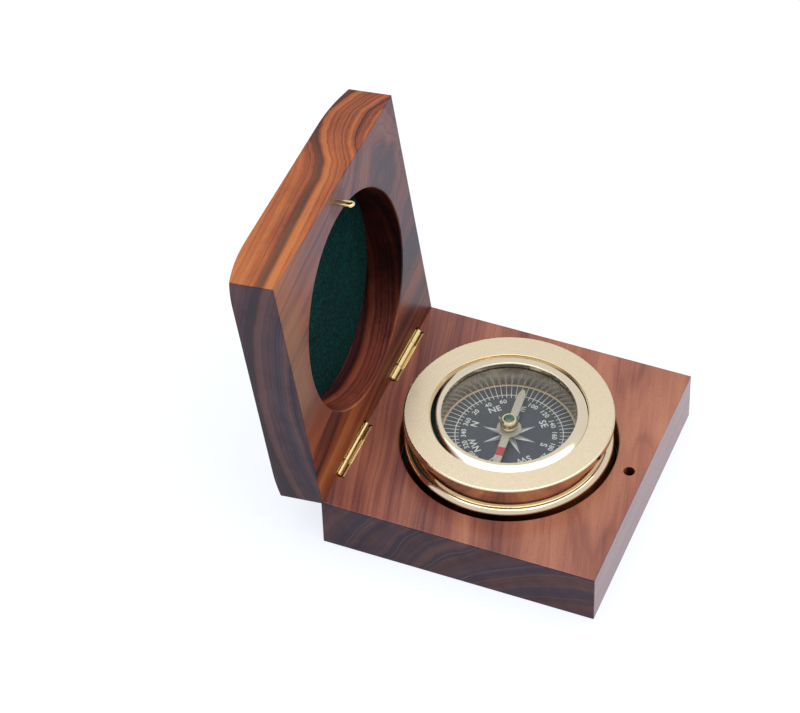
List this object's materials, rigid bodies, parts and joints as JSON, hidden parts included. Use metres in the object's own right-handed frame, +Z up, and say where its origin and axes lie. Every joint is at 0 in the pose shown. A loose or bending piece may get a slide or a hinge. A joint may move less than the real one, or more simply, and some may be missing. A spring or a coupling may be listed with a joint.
{
  "type": "paperweight compass in a hinged wooden box",
  "caption": "Heavy round brass compass with a spool-shaped body, glass cover and swinging needle, lying in a square hinged rosewood box lined with felt.",
  "frame": {"origin": "centre of the flat underside of the box's base, on the surface that it stands on", "axes": "+Z up, +Y towards the back with the hinges, -Y towards the front with the catch, X along the hinge pins"},
  "size_m": [0.1016, 0.1306, 0.118],
  "materials": {
    "rosewood": "satin varnish over dark streaked rosewood",
    "green_felt": "dense matt felt",
    "hinge_brass": "drawn and polished",
    "body_brass": "turned, satin flange with polished edges",
    "polished_brass": "turned and polished",
    "dial_black": "matt black enamel with white print",
    "pivot_steel": "turned",
    "clear_glass": "clear and flat",
    "needle_ivory": "pale enamel with a red band",
    "jewel_green": "polished green bearing jewel"
  },
  "bodies": {
    "base": {"base_block": "rosewood", "base_felt": "green_felt", "base_hinge_leaf_left": "hinge_brass", "base_hinge_leaf_right": "hinge_brass", "base_hinge_tacks": "hinge_brass"},
    "lid": {"lid_block": "rosewood", "lid_felt": "green_felt", "lid_hinge_leaf_left": "hinge_brass", "lid_hinge_leaf_right": "hinge_brass", "lid_hinge_tacks": "hinge_brass", "hinge_pin_left": "hinge_brass", "hinge_pin_right": "hinge_brass", "catch_loop": "hinge_brass"},
    "compass": {"compass_body": "body_brass", "compass_felt_pad": "green_felt", "dial_plate": "dial_black", "pivot_post": "pivot_steel", "dial_wall_ring": "polished_brass", "cover_glass": "clear_glass", "bezel_ring": "polished_brass"},
    "needle": {"needle_blade": "needle_ivory", "needle_cap": "polished_brass", "needle_jewel": "jewel_green"}
  },
  "joints": [
    {"name": "lid_hinge", "type": "hinge", "parent": "base", "child": "lid", "pos_m": [0, 0.049, 0.02025], "axis": [1, 0, 0], "range_deg": [0, 97.5]},
    {"name": "compass_turn", "type": "hinge", "parent": "base", "child": "compass", "pos_m": [0, 0, 0.0202], "axis": [0, 0, 1], "continuous": true},
    {"name": "needle_spin", "type": "hinge", "parent": "compass", "child": "needle", "pos_m": [0, 0, 0.0249], "axis": [0, 0, 1], "continuous": true}
  ]
}
